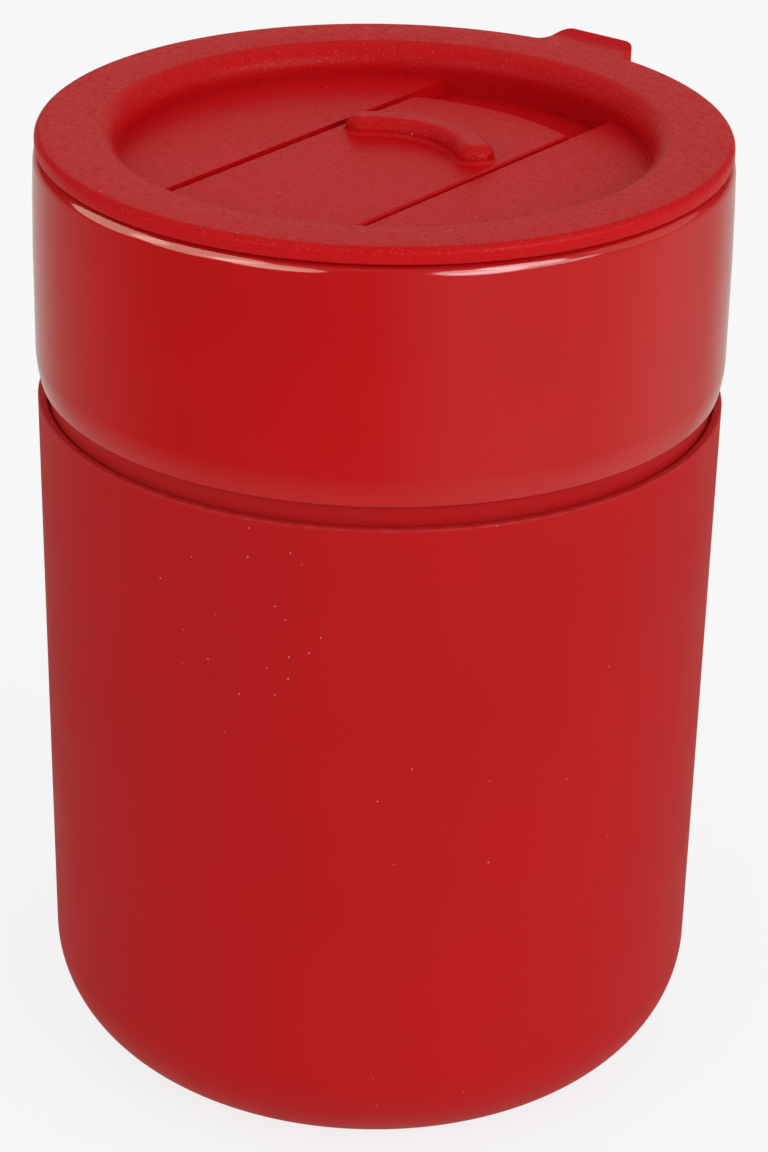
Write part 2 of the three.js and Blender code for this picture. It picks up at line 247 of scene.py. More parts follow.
class MugLidSizes(PropertyGroup):
    """Sizes of the lid body"""

    top: length("Top", "Height of the flange", LID_TOP)
    radius: length("Flange radius", "Outer edge of the flange", LID_BOX[1][0])
    plug_radius: length("Plug radius", "Outside of the plug", 0.0367)
    plug_foot: length("Plug foot", "Height of the lower end of the plug", LID_BOX[0][2])
    thickness: length("Flange thickness", "Thickness of the flange at its edge", FLANGE)
    edge_round: length("Edge rounding", "Radius along the upper edge of the flange", 0.0009)
    under_round: length("Under rounding", "Radius along the lower edge of the flange", 0.0005)
    recess_wall: length("Recess wall", "Recess to the outside of the plug", 0.0052)
    recess_round: length("Recess rounding", "Radius along the upper edge of the recess", 0.0028)
    recess_lead: length("Recess lead", "Inner part of the flange, which leans in", 0.0065)
    recess_lean: length("Recess lean", "Height lost over that part", 0.00025)
    lead_round: length("Lead rounding", "Radius where the flange starts to lean", 0.09)
    panel_depth: length("Panel depth", "Side panels below the flange", 0.0041)
    panel_round: length("Panel fillet", "Fillet between panels and recess wall", 0.00015)
    panel_edge: length("Panel edge", "Radius along the channel edges of the panels", 0.0003)
    channel: length("Channel width", "Distance between the side panels", 0.0252)
    channel_depth: length("Channel depth", "Channel floor below the flange", 0.0061)
    floor: length("Floor", "Thickness under the channel", 0.0022)
    skirt_wall: length("Skirt wall", "Thickness of the plug skirt", 0.0026)
    skirt_round: length("Skirt rounding", "Radius along the skirt edges", 0.0008)
    seal_height: length("Seal groove height", "Height of the groove for the seal ring", 0.004)
    seal_depth: length("Seal groove depth", "Depth of the groove for the seal ring", 0.0016)
    seal_land: length("Seal land", "Plug below the seal groove", 0.0026)
    groove_reach: length("Tongue groove reach", "Undercut under the panels", 0.0011)
    groove_height: length("Tongue groove height", "Height of the undercut", 0.0013)
    groove_front: length("Tongue groove front", "Front end of the undercut", -0.02657)
    groove_back: length("Tongue groove back", "Back end of the undercut", 0.02017)


class MugDrinkSlotSizes(PropertyGroup):
    """Sizes of the drink slot in the lid floor"""

    width: length("Width", "Across the lid", 0.017)
    depth: length("Depth", "From the recess wall towards the axis", 0.0056)
    margin: length("Margin", "Slot to the recess wall", 0.0009)


class MugTabSizes(PropertyGroup):
    """Sizes of the pull tab on the lid flange"""

    tip: length("Tip", "Distance of the tip from the axis", LID_BOX[1][1])
    width: length("Width", "Width of the tab", 0.0115)
    corner: length("Corner", "Radius of the tip's corners", 0.0018)
    fillet: length("Fillet", "Hollow fillet at the root", 0.002)
    bend: length("Bend", "Outer part of the tab that curves up", 0.0024)
    lift: length("Lift", "Tip above the top of the flange", 0.0007)
    edge_round: length("Edge rounding", "Radius along the edges", 0.0005)


class MugSealSizes(PropertyGroup):
    """Sizes of the seal ring"""

    radius: length("Radius", "Outside of the lips", SEAL_BOX[1][0])
    foot: length("Foot", "Height of the lower face", SEAL_BOX[0][2])
    top: length("Top", "Height of the upper face", SEAL_BOX[1][2])
    inner: length("Inner radius", "Inside of the ring", 0.0354)
    lip: length("Lip", "How far the lips stand out", 0.0006)
    lip_round: length("Lip rounding", "Radius along the lips", 0.00025)


class MugSliderSizes(PropertyGroup):
    """Sizes of the slider plate and its tongues"""

    foot: length("Foot", "Height of the underside", SLIDER_BOX[0][2])
    thickness: length("Thickness", "Thickness of the plate", 0.0019)
    width: length("Width", "Across the channel", 0.0233)
    arc: length("Arc", "Radius of the front and back ends", -SLIDER_BOX[0][1])
    travel: length("Travel", "Way from closed to open", 0.0078)
    edge_round: length("Edge rounding", "Radius along the edges", 0.0003)
    tongue_reach: length("Tongue reach", "Tongues beyond the plate's sides", 0.0016)
    tongue_thickness: length("Tongue thickness", "Thickness of the tongues", 0.0007)
    tongue_inset: length("Tongue inset", "Front of the tongues to the front corners", 0.0026)
    tongue_tail: length("Tongue tail", "Back of the tongues to the back corners", 0.009)


class MugRidgeSizes(PropertyGroup):
    """Sizes of the thumb ridge on the slider"""

    span: length("Span", "Between the middles of its round ends", 0.0165)
    width: length("Width", "Across the bar", 0.0046)
    bend: length("Bend", "Radius of its middle line", 0.01205)
    setback: length("Setback", "Back of the ridge to the back of the plate", 0.0109)
    height: length("Height", "Crest above the plate", 0.002)
    edge_round: length("Edge rounding", "Radius along the upper edge", 0.0015)
    fillet: length("Fillet", "Hollow fillet where the bar stands on the plate", 0.00048)


class MugFinishes(PropertyGroup):
    """Colours and finishes of the pieces"""

    sleeve: tint("Sleeve", "Silicone of the sleeve", (0.45, 0.005, 0.0065))
    sleeve_roughness: share("Sleeve roughness", "Matte moulded silicone", 0.55)
    glaze: tint("Glaze", "Glaze of the cup", (0.467, 0.006, 0.007))
    glaze_roughness: share("Glaze roughness", "Glossy glaze", 0.08)
    clay: tint("Clay", "Bare foot of the cup", (0.62, 0.5, 0.4))
    lid: tint("Lid", "Plastic of the lid and slider", (0.5, 0.0025, 0.0048))
    lid_roughness: share("Lid roughness", "Fine matte texture", 0.38)
    seal: tint("Seal", "Silicone of the seal ring", (0.46, 0.012, 0.016))
    # This pale colour also paints the glints on the lid and the highlight along the upper edge of
    # the sleeve and the seal
    dust_and_highlights: tint("Dust", "Pale dust specks", (0.8, 0.62, 0.6))


class MugStage(PropertyGroup):
    """Camera, floor and light"""

    azimuth: angle("Azimuth", "Camera round the mug, 0 looks along +Y", 37.5)
    elevation: angle("Elevation", "Camera above the horizon", 26.23)
    roll: angle("Roll", "Camera turned about its view", 1.08)
    distance: length("Distance", "Camera to its target", 0.43)
    target: length("Target", "Height of the camera's target on the axis", 0.06)
    aim_right: length("Aim right", "Image centre to the right of the target", 0.00096)
    aim_up: length("Aim up", "Image centre above the target", 0.00114)
    lens: FloatProperty(name="Lens", description="Focal length in millimetres", default=107.25)
    background: tint("Background", "Floor and backdrop as the camera sees them", (0.96, 0.96, 0.96))
    floor_radius: length("Floor radius", "Size of the round floor", 4.0)
    ambient: FloatProperty(name="Ambient", description="Even light from all around", default=0.74)
    mirrored_front: share("Mirrored front", "Room behind the camera, as the glaze shows it", 0.05)
    mirrored_side: share("Mirrored side", "What the brighter right side adds to that", 0.34)
    mirrored_turn: angle("Mirrored turn", "That side from the camera's azimuth", 65)
    mirrored_back: share("Mirrored back", "What the backdrop adds to that", 0.36)
    mirrored_edge: share("Mirrored edge", "What the middle of the backdrop adds to that", 0.2)
    mirrored_high: share("Mirrored high", "What the backdrop adds above the horizon", 0.75)
    mirrored_ceiling: share("Mirrored ceiling", "What the ceiling adds to that", 0.3)
    mirrored_tint: tint("Mirrored tint", "Colour of the room in the glaze", (0.96, 0.96, 0.87))
    mirrored_table: share("Mirrored table", "What the table close to the mug adds to that", 0.5)


# Mesh tools


def everything(bm):
    """All the vertices, edges and faces of a bmesh."""
    return bm.verts[:] + bm.edges[:] + bm.faces[:]


def draw_chain(bm, corners, closed=False):
    """Draws straight edges through (place, rounding) corners, and rounds those with a radius."""
    points = [bm.verts.new(place) for place, _ in corners]
    ends = points[1:] + points[:1] if closed else points[1:]
    for first, second in zip(points, ends):
        bm.edges.new((first, second))
    for point, (_, rounding) in zip(points, corners):
        if rounding > 0:
            sides = [edge.other_vert(point).co - point.co for edge in point.link_edges]
            opening = sides[0].angle(sides[1])
            reach = rounding / math.tan(opening / 2)
            steps = max(ROUND_STEPS, round(rounding * (math.pi - opening) / ROUND_STEP))
            bmesh.ops.bevel(bm, geom=[point], offset=reach, offset_type="OFFSET",
                            affect="VERTICES", segments=steps, profile=0.5, material=-1,
                            clamp_overlap=True)


def draw_arc(bm, point, centre, sweep, steps=ARC_STEPS):
    """Draws an arc about an upright axis from a point, and returns the arc's last point."""
    made = bmesh.ops.spin(bm, geom=[point], cent=centre, axis=UP, angle=sweep, steps=steps)
    return next(item for item in made["geom_last"] if isinstance(item, bmesh.types.BMVert))


def settle(bm):
    """Puts vertices, edges and faces in a fixed order, so that each run gives the same mesh."""
    for rank, vert in enumerate(sorted(bm.verts, key=lambda vert: vert.co[:])):
        vert.index = rank
    bm.verts.sort()
    for parts in (bm.edges, bm.faces):
        ranked = sorted(parts, key=lambda part: sorted(vert.index for vert in part.verts))
        for rank, part in enumerate(ranked):
            part.index = rank
        parts.sort()


def mend(bm):
    """Merges what meets and turns all faces outwards."""
    settle(bm)
    bmesh.ops.remove_doubles(bm, verts=bm.verts, dist=WELD)
    bmesh.ops.recalc_face_normals(bm, faces=bm.faces)
    return bm


def turn(profile, closed=False):
    """Turns a profile of (radius, height, rounding) corners about the axis."""
    corners = [((radius, 0, height), rounding) for radius, height, rounding in profile]
    bm = bmesh.new()
    draw_chain(bm, corners, closed)
    bmesh.ops.spin(bm, geom=everything(bm), cent=(0, 0, 0), axis=UP, angle=2 * math.pi,
                   steps=TURN_STEPS, use_merge=True)
    return mend(bm)


def raise_outline(bm, foot, top):
    """Fills a closed flat outline at z = 0 and raises it between two heights."""
    bmesh.ops.remove_doubles(bm, verts=bm.verts, dist=WELD)
    bmesh.ops.contextual_create(bm, geom=bm.edges[:])
    bmesh.ops.translate(bm, verts=bm.verts, vec=(0, 0, foot))
    raised = bmesh.ops.extrude_face_region(bm, geom=bm.faces[:])
    upper = [item for item in raised["geom"] if isinstance(item, bmesh.types.BMVert)]
    bmesh.ops.translate(bm, verts=upper, vec=(0, 0, top - foot))
    bmesh.ops.recalc_face_normals(bm, faces=bm.faces)
    return bm


def block(low, high):
    """A box between two opposite corners."""
    low, high = Vector(low), Vector(high)
    size = high - low
    place = Matrix.Translation((low + high) / 2) @ Matrix.Diagonal((*size, 1))
    bm = bmesh.new()
    bmesh.ops.create_cube(bm, size=1, matrix=place)
    return bm


def level(edge, height):
    """True for an edge that lies at a height."""
    return all(abs(vert.co.z - height) < WELD for vert in edge.verts)


def rises(edge, height):
    """True for an edge with a face that goes up from a height."""
    return any(face.calc_center_median().z > height + WELD for face in edge.link_faces)


def beside(edge, side):
    """True for an edge that lies along a side of the channel."""
    return all(abs(vert.co.x - side) < WELD for vert in edge.verts)


def round_edges(bm, radius, picked, steps=None):
    """Rounds the edges that a test picks."""
    edges = [edge for edge in bm.edges if picked(edge)]
    if steps is None:
        steps = min(max(LEAST_EDGE_STEPS, round(radius / EDGE_STEP)), ROUND_STEPS)
    bmesh.ops.bevel(bm, geom=edges, offset=radius, offset_type="OFFSET", affect="EDGES",
                    segments=steps, profile=0.5, material=-1, clamp_overlap=True)


def blend_foot(bm, height, radius):
    """Fills the inner corner where a raised shape stands on a flat, with a hollow fillet."""
    round_edges(bm, radius, lambda edge: level(edge, height) and rises(edge, height), ROUND_STEPS)
    return mend(bm)


def merge_flats(bm):
    """Joins faces that lie in one plane."""
    settle(bm)
    bmesh.ops.dissolve_limit(bm, angle_limit=FLAT, verts=bm.verts, edges=bm.edges)
    return bm


def store(bm, name):
    """The mesh of a finished bmesh."""
    settle(bm)
    mesh = bpy.data.meshes.new(name)
    bm.to_mesh(mesh)
    bm.free()
    return mesh


def helper(bm, name):
    """A passing object that holds a bmesh for a cut or a join."""
    made = bpy.data.objects.new(name, store(bm, name))
    bpy.context.scene.collection.objects.link(made)
    return made


def combine(base, tool, operation):
    """Joins two closed meshes, or cuts one from the other, and returns the result."""
    first = helper(base, "base")
    second = helper(tool, "tool")
    cut = first.modifiers.new("combine", "BOOLEAN")
    cut.operation = operation
    cut.solver = "EXACT"
    cut.object = second
    bpy.context.view_layer.update()
    result = bmesh.new()
    result.from_object(first, bpy.context.evaluated_depsgraph_get())
    for passing in (first, second):
        mesh = passing.data
        bpy.data.objects.remove(passing)
        bpy.data.meshes.remove(mesh)
    if not result.faces:
        raise RuntimeError("A cut or join left nothing")
    return merge_flats(mend(result))


def place_piece(bm, name, node, body, material):
    """Makes the piece of a finished mesh, which stands for a node and rides on its body."""
    loose = [edge for edge in bm.edges if len(edge.link_faces) != 2]
    if loose:
        raise RuntimeError(f"{name} isn't closed: {len(loose)} edges")
    mesh = store(bm, name)
    mesh.shade_smooth()
    mesh.set_sharp_from_angle(angle=CREASE)
    mesh.materials.append(material)
    piece = bpy.data.objects.new(name, mesh)
    bpy.context.scene.collection.objects.link(piece)
    even = piece.modifiers.new("even_shading", "WEIGHTED_NORMAL")
    even.keep_sharp = True
    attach(piece, body)
    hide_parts(node)
    return piece


# Finishes


class Nodes:
    """The nodes of a material or a world, with short ways to add and link them."""

    def __init__(self, tree):
        self.tree = tree

    def add(self, kind, **settings):
        """Adds a node. A setting that is a socket is linked, and the others are values."""
        node = self.tree.nodes.new(kind)
        for key, value in settings.items():
            if hasattr(node, key) and key not in node.inputs:
                setattr(node, key, value)
            else:
                self.feed(node.inputs[key], value)
        return node

    def feed(self, target, value):
        """Links a socket to an input, or sets the input to a value."""
        if isinstance(value, bpy.types.NodeSocket):
            self.tree.links.new(value, target)
        else:
            target.default_value = value

    def span(self, value, from_low, from_high, to_low=0, to_high=1):
        """Maps one range of numbers to another."""
        node = self.add("ShaderNodeMapRange", clamp=True, Value=value)
        for key, number in zip(("From Min", "From Max", "To Min", "To Max"),
                               (from_low, from_high, to_low, to_high)):
            node.inputs[key].default_value = number
        return node.outputs["Result"]

    def math(self, operation, first, second=0):
        """One sum on one or two numbers."""
        node = self.add("ShaderNodeMath", operation=operation)
        self.feed(node.inputs[0], first)
        self.feed(node.inputs[1], second)
        return node.outputs["Value"]

    def times(self, first, second):
        """One number times another."""
        return self.math("MULTIPLY", first, second)

    def total(self, first, *others):
        """The sum of all the numbers."""
        for other in others:
            first = self.math("ADD", first, other)
        return first

    def vector_math(self, operation, first, second=(0, 0, 0)):
        """The results of one sum on one or two vectors."""
        node = self.add("ShaderNodeVectorMath", operation=operation)
        self.feed(node.inputs[0], first)
        self.feed(node.inputs[1], second)
        return node.outputs

    def mix(self, amount, first, second):
        """Blends two colours."""
        node = self.add("ShaderNodeMix", data_type="RGBA")
        self.feed(node.inputs["Factor"], amount)
        for key, value in (("A", first), ("B", second)):
            target = next(item for item in node.inputs if item.name == key and item.type == "RGBA")
            self.feed(target, value if isinstance(value, bpy.types.NodeSocket) else (*value, 1))
        return next(item for item in node.outputs if item.type == "RGBA")

    def seen_rays(self):
        """1 for rays from the camera, a mirror or glass, and 0 for the others."""
        path = self.add("ShaderNodeLightPath").outputs
        either = self.math("MAXIMUM", path["Is Camera Ray"], path["Is Glossy Ray"])
        return self.math("MAXIMUM", either, path["Is Transmission Ray"])

    def show(self, output, amount, first, second):
        """Ends the nodes with an output that shows a blend of two shaders."""
        blend = self.add("ShaderNodeMixShader", Fac=amount)
        self.feed(blend.inputs[1], first)
        self.feed(blend.inputs[2], second)
        self.add(output, Surface=blend.outputs["Shader"])


def empty_nodes(holder):
    """The nodes of a new material or world, with the usual ones taken out."""
    holder.use_nodes = True
    holder.node_tree.nodes.clear()
    return Nodes(holder.node_tree)


class Finish(Nodes):
    """A piece's material: one shader, with textures on the piece's own coordinates."""

    def __init__(self, name, roughness, specular):
        self.material = bpy.data.materials.new(name)
        self.material.use_nodes = True
        super().__init__(self.material.node_tree)
        self.shader = next(node for node in self.tree.nodes if node.type == "BSDF_PRINCIPLED")
        self.shader.inputs["Roughness"].default_value = roughness
        self.shader.inputs["Specular IOR Level"].default_value = specular
        self.place = self.add("ShaderNodeTexCoord").outputs["Object"]
        self.height = self.upward(self.place)

    def upward(self, vector):
        """The upright part of a vector."""
        return self.add("ShaderNodeSeparateXYZ", Vector=vector).outputs["Z"]

    def noise(self, scale, detail):
        """Cloudy noise from 0 to 1."""
        node = self.add("ShaderNodeTexNoise", Vector=self.place, Scale=scale, Detail=detail)
        return node.outputs["Fac"]

    def specks(self, spacing, radius, share_kept):
        """Scattered round specks: 1 on a speck and 0 elsewhere."""
        cells = self.add("ShaderNodeTexVoronoi", Vector=self.place, Scale=1 / spacing).outputs
        edge = radius / spacing
        near = self.span(cells["Distance"], edge, edge * SPECK_CORE)
        pick = self.add("ShaderNodeSeparateColor", Color=cells["Color"]).outputs["Red"]
        return self.times(near, self.math("LESS_THAN", pick, share_kept))

    def from_axis(self):
        """Distance from the mug's axis."""
        flat = self.vector_math("MULTIPLY", self.place, (1, 1, 0))["Vector"]
        return self.vector_math("LENGTH", flat)["Value"]

    def near(self, point, far, close):
        """1 within a short distance of a point, falling to 0 at a longer one."""
        return self.span(self.vector_math("DISTANCE", self.place, point)["Value"], far, close)

    def between(self, start, marks):
        """0 at the first of two marks above a height, and 1 at the second."""
        return self.span(self.height, *(start + mark for mark in marks))

    def clouded(self, colour, pattern, pattern_range, spread):
        """A colour that a pattern makes darker and lighter."""
        amount = self.span(pattern, *pattern_range)
        return self.mix(amount, shade(colour, 1 - spread), shade(colour, 1 + spread))

    def uneven(self, value, pattern, spread):
        """A number that a pattern lowers and raises."""
        return self.span(pattern, *NOISE_RANGE, value - spread, value + spread)

    def coat(self, colours, roughness):
        """Gives the shader its colours and its roughness."""
        self.feed(self.shader.inputs["Base Color"], colours)
        self.feed(self.shader.inputs["Roughness"], roughness)

    def bump(self, height, distance, strength):
        """Raises the surface by a pattern of heights."""
        node = self.add("ShaderNodeBump", Height=height, Distance=distance, Strength=strength)
        self.feed(self.shader.inputs["Normal"], node.outputs["Normal"])


def shade(colour, factor):
    """A darker or lighter version of a colour."""
    return tuple(min(channel * factor, 1.0) for channel in colour)


def silicone(name, colour, roughness, dust_and_highlights, edge):
    """Matte moulded silicone: faint clouding, a fine skin, a few dusty specks and a painted
    highlight along the upper edge.
    """
    finish = Finish(name, roughness, MATTE_SPECULAR)
    base = finish.clouded(colour, finish.noise(*CLOUDING), NOISE_RANGE, spread=0.05)
    gathered = finish.span(finish.near(DUST_PATCH, *DUST_REACH), 0, 1, *DUST_SHARE)
    dusty = finish.times(finish.specks(*SLEEVE_DUST, gathered), SLEEVE_DUST_STRENGTH)
    # Painted highlight: a pale line along the upper edge stands for light caught by its rounding,
    # in the same pale colour as the dusty specks
    lip = finish.times(finish.between(edge, LIP_HIGHLIGHT_LINE), LIP_HIGHLIGHT_STRENGTH)
    painted_lip_highlight = finish.times(lip, finish.span(finish.noise(*LIP_HIGHLIGHT_NOISE), *NOISE_CORE, *LIP_HIGHLIGHT_UNEVEN))
    colours = finish.mix(finish.math("MAXIMUM", dusty, painted_lip_highlight), base, dust_and_highlights)
    finish.coat(colours, finish.uneven(roughness, finish.noise(*HANDLING), spread=0.05))
    finish.bump(finish.noise(*SKIN), *SKIN_BUMP)
    return finish.material


def recess_shade_mask(finish, lean, lid):
    """Where painted shade goes: 1 along the foot of the recess wall, where little light gets in,
    and 0 elsewhere.
    """
    low = finish.between(panel_level(lid), RECESS_FOOT)
    past_wall = finish.math("SUBTRACT", finish.from_axis(), recess_radius(lid))
    at_wall = finish.span(finish.math("ABSOLUTE", past_wall), *RECESS_WALL)
    steep = finish.math("COMPARE", lean, 0)
    return finish.times(low, finish.times(steep, at_wall))


def moulded_plastic(name, colour, roughness, dust_and_highlights, lid):
    """Plastic from an etched mould: a sandy grain, painted glints where the surface turns and
    painted shade at the foot of the recess wall.
    """
    finish = Finish(name, roughness, MATTE_SPECULAR)
    lean = finish.upward(finish.add("ShaderNodeNewGeometry").outputs["Normal"])
    grain = finish.noise(*MOULD_GRAIN)
    base = finish.clouded(colour, grain, NOISE_CORE, spread=0.06)
    # Painted shade: the foot of the recess wall is coloured darker, where little light gets in
    base = finish.mix(recess_shade_mask(finish, lean, lid), base, shade(colour, RECESS_PAINTED_SHADE))
    dusty = finish.times(finish.specks(*LID_DUST, LID_DUST_SHARE), LID_DUST_STRENGTH)
    # Painted glints: light specks where the surface turns, in place of highlights on the grain
    off_level = finish.span(lean, *OFF_LEVEL, 0, PAINTED_GLINT_SHARE)
    turning = finish.times(off_level, finish.span(lean, *OFF_UPRIGHT))
    painted_glints = finish.times(finish.specks(*PAINTED_GLINTS, turning), PAINTED_GLINT_STRENGTH)
    colours = finish.mix(finish.math("MAXIMUM", dusty, painted_glints), base, dust_and_highlights)
    finish.coat(colours, finish.uneven(roughness, finish.noise(*MOULD_SHEEN), spread=0.12))
    finish.bump(grain, *GRAIN_BUMP)
    return finish.material


def glaze(name, colour, roughness, clay, foot, neck):
    """Glossy glaze with faint pooling and ripple, matte with painted shade below the band, and
    wiped off the foot.
    """
    finish = Finish(name, roughness, GLAZE_SPECULAR)
    matte = finish.between(neck, NECK_FADE)
    bare = finish.between(foot, BARE_FOOT)
    glossy = finish.clouded(colour, finish.noise(*POOLING), NOISE_RANGE, spread=0.06)
    # Painted shade: the neck in the groove below the band is coloured darker, as the band's foot
    # shades it
    glazed = finish.mix(matte, glossy, shade(colour, NECK_PAINTED_SHADE))
    grog = finish.mix(finish.noise(*GROG), *(shade(clay, factor) for factor in GROG_SHADES))
    smears = finish.uneven(roughness, finish.noise(*SMEARS), spread=roughness * 0.2)
    dull = finish.total(finish.times(matte, NECK_ROUGHNESS), finish.times(bare, BARE_ROUGHNESS))
    finish.coat(finish.mix(bare, glazed, grog), finish.math("MAXIMUM", smears, dull))
    finish.feed(finish.shader.inputs["Specular IOR Level"],
                finish.span(matte, 0, 1, GLAZE_SPECULAR, NECK_SPECULAR))
    finish.bump(finish.noise(*RIPPLE), *RIPPLE_BUMP)
    return finish.material


# Pieces


def sleeve_profile(sizes):
    """Boot-shaped sleeve from the middle of its underside up, over the edge and down inside."""
    foot = sizes.radius - sizes.taper
    return [
        (0, 0, 0),
        (foot, 0, sizes.foot_round),
        (sizes.radius, sizes.height, sizes.edge_round),
        (sizes.radius - sizes.wall, sizes.height, sizes.inner_round),
        (foot - sizes.wall, sizes.floor, sizes.foot_round - sizes.wall),
        (0, sizes.floor, 0),
    ]


class MUG_OT_sleeve(Operator):
    """Make the silicone sleeve"""

    bl_idname = "mug.sleeve"
    bl_label = "Sleeve"

    def execute(self, context):
        finishes = context.scene.mug_finishes
        sizes = context.scene.mug_sleeve
        material = silicone("matte_silicone", finishes.sleeve, finishes.sleeve_roughness,
                            finishes.dust_and_highlights, sizes.height)
        place_piece(turn(sleeve_profile(sizes)), "sleeve", "silicone_sleeve", "sleeve",
                    material)
        return {"FINISHED"}


def cup_profile(cup, sleeve):
    """Stepped cup: a lower body that fits the sleeve, and a band above that is flush with it."""
    neck = sleeve.radius - sleeve.wall - cup.seat_gap
    foot = neck - sleeve.taper
    foot_round = sleeve.foot_round - sleeve.wall - cup.seat_gap
    band_foot = cup.rim - cup.band
    mouth = cup.band_radius - cup.rim_wall
    floor = cup.base + cup.floor
    return [
        (0, cup.base, 0),
        (foot, cup.base, foot_round),
        (neck, band_foot, 0),
        (cup.band_radius - cup.foot_lean, band_foot, cup.foot_round),
        (cup.band_radius, band_foot + cup.foot_height, cup.foot_blend),
        (cup.band_radius, cup.rim - cup.shoulder, cup.shoulder_round),
        (cup.band_radius - cup.shoulder_lean, cup.rim, cup.rim_outer_round),
        (mouth, cup.rim, cup.rim_inner_round),
        (mouth, cup.rim - cup.mouth_depth, 0),
        (foot - cup.wall, floor, foot_round - cup.wall),
        (0, floor, 0),
    ]


class MUG_OT_cup(Operator):
    """Make the glazed ceramic cup"""

    bl_idname = "mug.cup"
    bl_label = "Cup"

    def execute(self, context):
        finishes = context.scene.mug_finishes
        cup = context.scene.mug_cup
        material = glaze("red_glaze", finishes.glaze, finishes.glaze_roughness, finishes.clay,
                         cup.base, cup.rim - cup.band)
        place_piece(turn(cup_profile(cup, context.scene.mug_sleeve)), "cup", "ceramic_cup", "cup",
                    material)
        return {"FINISHED"}


def recess_radius(lid):
    """Radius of the round recess in the lid."""
    return lid.plug_radius - lid.recess_wall


def panel_level(lid):
    """Height of the side panels."""
    return lid.top - lid.panel_depth


def channel_level(lid):
    """Height of the channel's floor."""
    return lid.top - lid.channel_depth


def lid_shell(lid):
    """Flange, recess wall, floor and plug of the lid."""
    recess = recess_radius(lid)
    channel = channel_level(lid)
    skirt = lid.plug_radius - lid.skirt_wall
    groove_foot = lid.plug_foot + lid.seal_land
    groove_top = groove_foot + lid.seal_height
    groove = lid.plug_radius - lid.seal_depth
    under = lid.top - lid.thickness
    return turn([
        (0, channel - lid.floor, 0),
        (skirt, channel - lid.floor, lid.skirt_round),
        (skirt, lid.plug_foot, lid.skirt_round),
        (lid.plug_radius, lid.plug_foot, lid.skirt_round),
        (lid.plug_radius, groove_foot, 0),
        (groove, groove_foot, 0),
        (groove, groove_top, 0),
        (lid.plug_radius, groove_top, 0),
        (lid.plug_radius, under, 0),
        (lid.radius, under, lid.under_round),
        (lid.radius, lid.top, lid.edge_round),
        (recess + lid.recess_lead, lid.top, lid.lead_round),
        (recess, lid.top - lid.recess_lean, lid.recess_round),
        (recess, channel, 0),
        (0, channel, 0),
    ])


def side_panels(lid):
    """The two panels beside the slider channel, filleted up to the recess wall."""
    recess = recess_radius(lid)
    top = panel_level(lid)
    low = channel_level(lid) - JOIN
    side = lid.channel / 2
    bm = turn([
        (0, low, 0),
        (recess + JOIN, low, 0),
        (recess + JOIN, top + 2 * lid.panel_round, 0),
        (recess + SLIVER, top + 2 * lid.panel_round, 0),
        (recess + SLIVER, top, lid.panel_round),
        (0, top, 0),
    ])
    cut = bmesh.ops.bisect_plane(bm, geom=everything(bm), dist=WELD, plane_co=(side, 0, 0),
                                 plane_no=(1, 0, 0), clear_inner=True)
    rim = [item for item in cut["geom_cut"] if isinstance(item, bmesh.types.BMEdge)]
    bmesh.ops.contextual_create(bm, geom=rim)
    merge_flats(bm)
    round_edges(bm, lid.panel_edge, lambda edge: level(edge, top) and beside(edge, side))
    bmesh.ops.mirror(bm, geom=everything(bm), axis="X", merge_dist=0)
    return mend(bm)


def tongue_grooves(lid):
    """Block that cuts the grooves for the slider's tongues under both panels."""
    reach = lid.channel / 2 + lid.groove_reach
    foot = channel_level(lid)
    return block((-reach, lid.groove_front, foot),
                 (reach, lid.groove_back, foot + lid.groove_height))


def curved_bar(bm, centre, bend, width, facing_way, swing):
    """Draws the outline of a bar with round ends, bent along an arc about a centre."""
    centre = Vector(centre)
    start, stop = (Matrix.Rotation(sweep, 3, "Z") @ Vector(facing_way) for sweep in (-swing, swing))
    corner = bm.verts.new(centre + start * (bend + width / 2))
    corner = draw_arc(bm, corner, centre, 2 * swing)
    corner = draw_arc(bm, corner, centre + stop * bend, math.pi, TIP_STEPS)
    corner = draw_arc(bm, corner, centre, -2 * swing)
    draw_arc(bm, corner, centre + start * bend, math.pi, TIP_STEPS)


def drink_slot(lid, slot):
    """Curved slot with round ends, along the recess wall at the drinking side."""
    bend = recess_radius(lid) - slot.margin - slot.depth / 2
    swing = (slot.width - slot.depth) / 2 / bend
    bm = bmesh.new()
    curved_bar(bm, (0, 0, 0), bend, slot.depth, (0, -1, 0), swing)
    channel = channel_level(lid)
    return raise_outline(bm, channel - lid.floor - JOIN, channel + JOIN)


def pull_tab(lid, tab):
    """Tab on the flange edge, with hollow fillets at its root and a tip that curves up."""
    side = tab.width / 2
    root = side + tab.fillet
    edge = math.sqrt((lid.radius - lid.edge_round) ** 2 - root ** 2)
    half = [
        ((root, edge - JOIN, 0), 0),
        ((root, edge, 0), 0),
        ((side, edge, 0), tab.fillet * NEARLY_ALL),
        ((side, tab.tip, 0), tab.corner),
    ]
    mirrored = [((-x, y, z), rounding) for (x, y, z), rounding in reversed(half)]
    bm = bmesh.new()
    draw_chain(bm, half + mirrored, closed=True)
    foot = lid.top - lid.thickness
    raise_outline(bm, foot, lid.top)
    round_edges(bm, tab.edge_round, lambda line: level(line, lid.top) or level(line, foot))
    start = tab.tip - tab.bend
    for step in range(BEND_STEPS):
        place = start + tab.bend * step / BEND_STEPS
        bmesh.ops.bisect_plane(bm, geom=everything(bm), dist=WELD, plane_co=(0, place, 0),
                               plane_no=(0, 1, 0))
    for vert in bm.verts:
        if vert.co.y > start:
            vert.co.z += tab.lift * ((vert.co.y - start) / tab.bend) ** 2
    return mend(bm)


